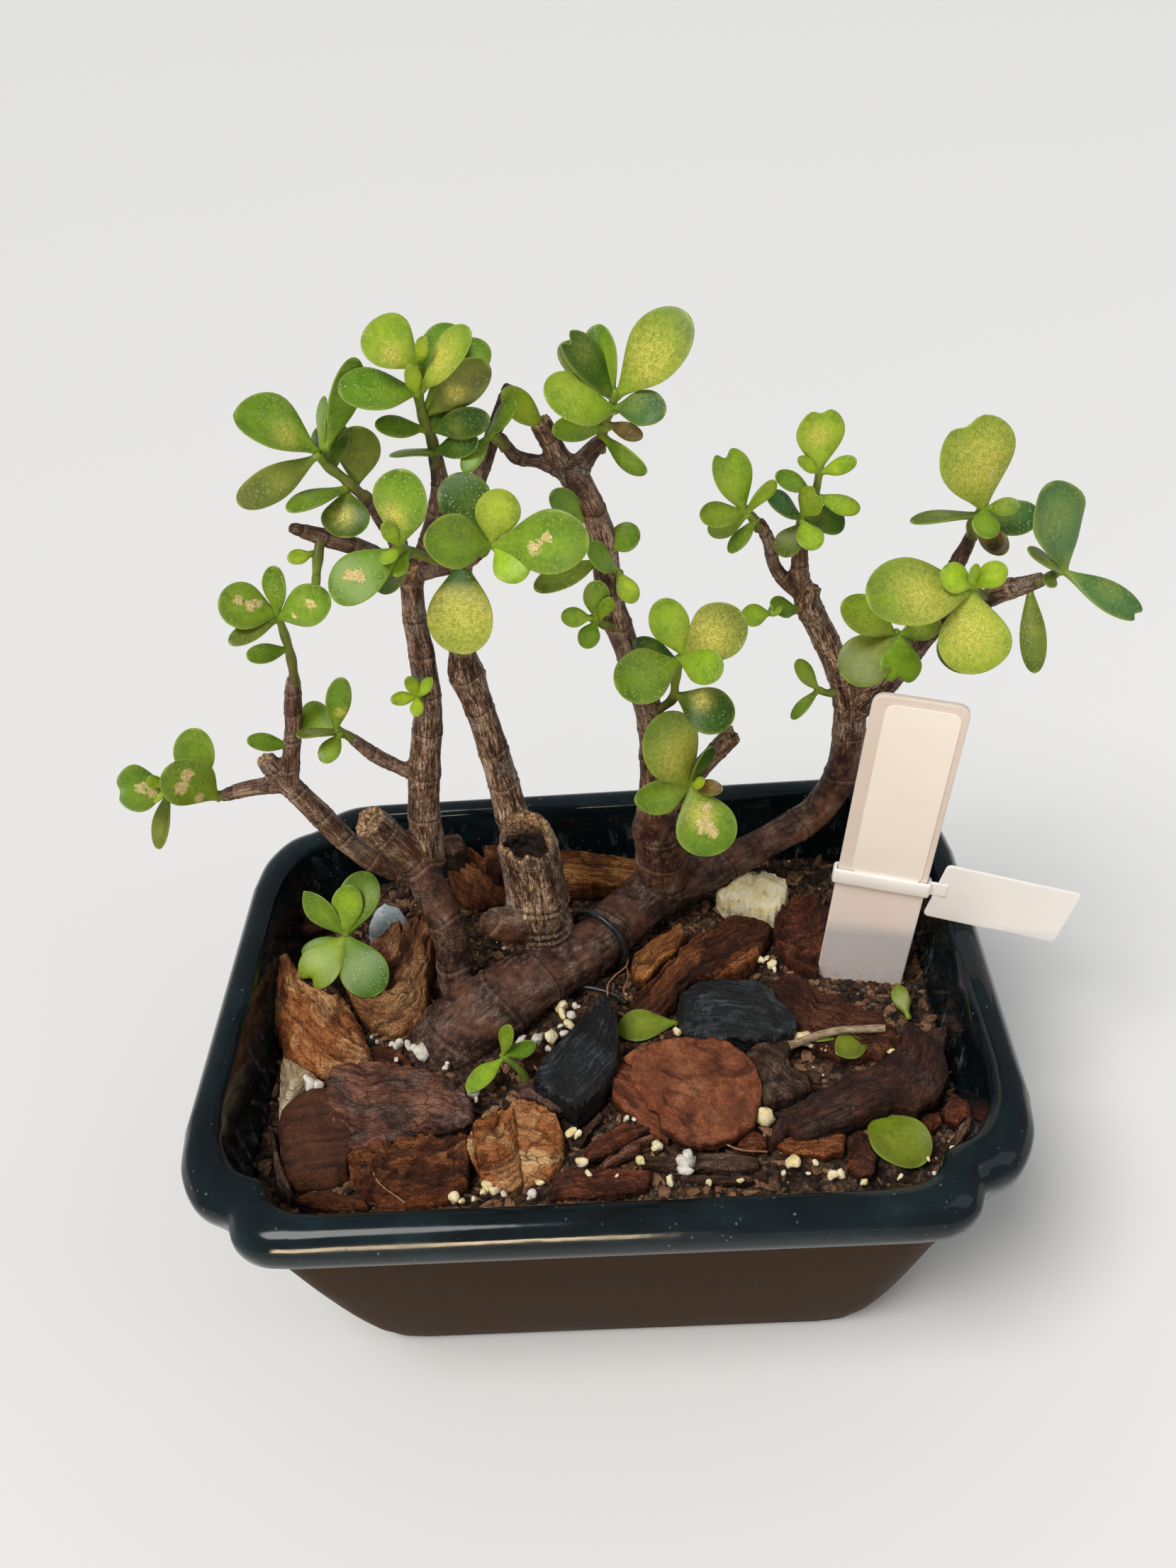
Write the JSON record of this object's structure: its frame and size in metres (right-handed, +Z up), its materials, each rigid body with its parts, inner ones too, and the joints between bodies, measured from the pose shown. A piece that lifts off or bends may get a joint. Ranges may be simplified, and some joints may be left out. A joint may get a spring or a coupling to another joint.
{
  "type": "potted dwarf jade bonsai",
  "caption": "Dwarf jade bonsai with a slanting trunk and fleshy leaves, in an oblong black glazed pot with bark chips on its soil and a blank plant label.",
  "frame": {"origin": "bottom centre of the pot, on the surface that it stands on", "axes": "+Z up, +X along the pot to the right of the viewer, +Y away from the viewer"},
  "size_m": [0.257, 0.161, 0.2512],
  "materials": {
    "glaze": "black glaze with a blue-green tint, glossy",
    "soil": "loose dark mix of bark fines, grit and pumice",
    "bark": "grey-brown living bark, ringed and fissured",
    "leaves": "fleshy satin leaf, green with pale flecks",
    "bark_chips": "rough red-brown bark",
    "charcoal": "black, ridged, slight sheen",
    "pumice": "cream, pitted",
    "stone": "pale blue-grey, dull",
    "label_plastic": "off-white plastic, satin",
    "tag_paper": "white synthetic paper, dull",
    "wire": "black coating, dull"
  },
  "bodies": {
    "root": {"anchor_wire": "wire", "charcoal_block": "charcoal", "charcoal_wedge": "charcoal", "chip_back": "bark_chips", "chip_corky": "bark_chips", "chip_cream": "bark_chips", "chip_curved": "bark_chips", "chip_dark": "bark_chips", "chip_flat": "bark_chips", "chip_front": "bark_chips", "chip_front_left": "bark_chips", "chip_grey": "bark_chips", "chip_large": "bark_chips", "chip_orange": "bark_chips", "chip_red": "bark_chips", "chip_round": "bark_chips", "chip_spiked": "bark_chips", "fallen_leaf_middle": "leaves", "fallen_leaf_right": "leaves", "label_stake": "label_plastic", "label_tag": "tag_paper", "leaf_arm_hanging": "leaves", "leaf_crown_stub": "leaves", "leaf_hanging": "leaves", "leaf_left_twig": "leaves", "leaf_middle_back": "leaves", "leaf_middle_front": "leaves", "leaf_middle_up": "leaves", "loose_stick": "bark_chips", "offshoot": "leaves", "pale_stone": "stone", "pot": "glaze", "pumice_rock": "pumice", "seedling": "leaves", "soil": "soil", "spray_arm_end": "leaves", "spray_arm_front": "leaves", "spray_arm_low": "leaves", "spray_arm_top": "leaves", "spray_crown_left": "leaves", "spray_crown_right": "leaves", "spray_crown_small": "leaves", "spray_crown_top": "leaves", "spray_far_left": "leaves", "spray_fork_left": "leaves", "spray_fork_small": "leaves", "spray_fork_top": "leaves", "spray_hanging_left": "leaves", "spray_hanging_right": "leaves", "spray_left_side": "leaves", "spray_left_upright": "leaves", "spray_low_front": "leaves", "spray_low_right": "leaves", "spray_middle_buds": "leaves", "spray_middle_front": "leaves", "sprout_dead_stub": "leaves", "sprout_fork": "leaves", "sprout_tall_trunk": "leaves", "wood": "bark"}
  },
  "joints": []
}
